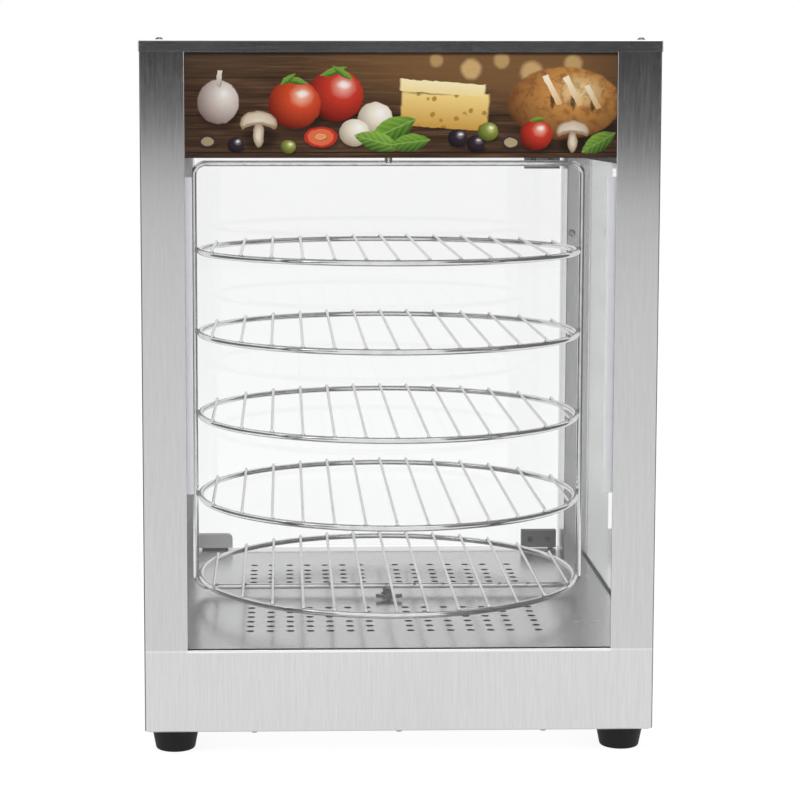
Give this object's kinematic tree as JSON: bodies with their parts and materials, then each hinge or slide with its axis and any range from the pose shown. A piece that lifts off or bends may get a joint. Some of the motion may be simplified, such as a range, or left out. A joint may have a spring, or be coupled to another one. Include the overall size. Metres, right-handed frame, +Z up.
{
  "type": "rotating pizza display case",
  "caption": "Countertop heated glass case with a motor-turned carousel of round wire racks, perforated floor, printed header and a hinged rear glass door.",
  "frame": {"origin": "centre of the footprint, control knob included, on the surface that the feet stand on", "axes": "+Z up, -Y towards the front glass, +X to the right of someone who faces the front"},
  "size_m": [0.482, 0.5, 0.6726],
  "materials": {
    "stainless_sheet": "brushed",
    "galvanised_sheet": "satin",
    "clear_glass": "polished",
    "chromed_wire": "polished",
    "turned_steel": "machined",
    "screw_steel": "polished",
    "black_rubber": "matt",
    "printed_film": "gloss print",
    "white_plastic": "matt",
    "frosted_plastic": "frosted",
    "black_plastic": "fine texture",
    "amber_plastic": "gloss",
    "magnet_ferrite": "matt"
  },
  "bodies": {
    "cabinet": {"base_front_panel": "stainless_sheet", "base_side_right": "stainless_sheet", "base_side_left": "stainless_sheet", "rear_control_panel": "stainless_sheet", "bottom_cover": "galvanised_sheet", "floor_deck": "stainless_sheet", "door_sill": "stainless_sheet", "post_front_right": "stainless_sheet", "post_front_left": "stainless_sheet", "post_rear_right": "stainless_sheet", "post_rear_left": "stainless_sheet", "header_panel": "stainless_sheet", "header_graphic": "printed_film", "upper_side_right": "stainless_sheet", "upper_side_left": "stainless_sheet", "upper_rear_panel": "stainless_sheet", "ceiling_panel": "stainless_sheet", "lid": "stainless_sheet", "front_glass": "clear_glass", "side_glass_right": "clear_glass", "side_glass_left": "clear_glass", "glass_seals": "black_rubber", "lamp_housing_right": "white_plastic", "lamp_housing_left": "white_plastic", "lamp_lenses": "frosted_plastic", "lamp_brackets": "galvanised_sheet", "feet": "black_rubber", "foot_screws": "screw_steel", "lid_screws": "screw_steel", "panel_screws": "screw_steel", "heating_element": "turned_steel", "element_clips": "turned_steel", "heat_tray": "galvanised_sheet", "gear_motor": "galvanised_sheet", "motor_bracket": "galvanised_sheet", "carousel_bush": "white_plastic", "thermostat": "black_plastic", "switch_bodies": "black_plastic", "pilot_lamp": "amber_plastic", "cord_gland": "black_plastic", "terminal_block": "white_plastic", "hinge_blocks": "turned_steel", "door_magnet": "magnet_ferrite"},
    "carousel": {"carousel_frame": "chromed_wire", "rack_1": "chromed_wire", "rack_2": "chromed_wire", "rack_3": "chromed_wire", "rack_4": "chromed_wire", "rack_5": "chromed_wire", "drive_hub": "turned_steel", "drive_shaft": "turned_steel", "wing_screw": "turned_steel", "top_pivot_pin": "chromed_wire"},
    "door": {"door_glass": "clear_glass", "door_clamps": "turned_steel", "door_clamp_screws": "screw_steel", "door_pull": "turned_steel"},
    "temperature_knob": {"thermostat_knob": "black_plastic"},
    "light_rocker": {"light_switch_rocker": "black_plastic"},
    "motor_rocker": {"motor_switch_rocker": "black_plastic"}
  },
  "joints": [
    {"name": "carousel_turn", "type": "hinge", "parent": "cabinet", "child": "carousel", "pos_m": [0, -0.009, 0.3], "axis": [0, 0, 1], "continuous": true},
    {"name": "door_swing", "type": "hinge", "parent": "cabinet", "child": "door", "pos_m": [0.2, 0.221, 0.1], "axis": [0, 0, -1], "range_deg": [0, 100]},
    {"name": "temperature_turn", "type": "hinge", "parent": "cabinet", "child": "temperature_knob", "pos_m": [0.11, 0.231, 0.0605], "axis": [0, -1, 0], "range_deg": [0, 270]},
    {"name": "light_switch_rock", "type": "hinge", "parent": "cabinet", "child": "light_rocker", "pos_m": [0.035, 0.2315, 0.0605], "axis": [1, 0, 0], "range_deg": [0, 20]},
    {"name": "motor_switch_rock", "type": "hinge", "parent": "cabinet", "child": "motor_rocker", "pos_m": [0.005, 0.2315, 0.0605], "axis": [1, 0, 0], "range_deg": [0, 20]}
  ]
}
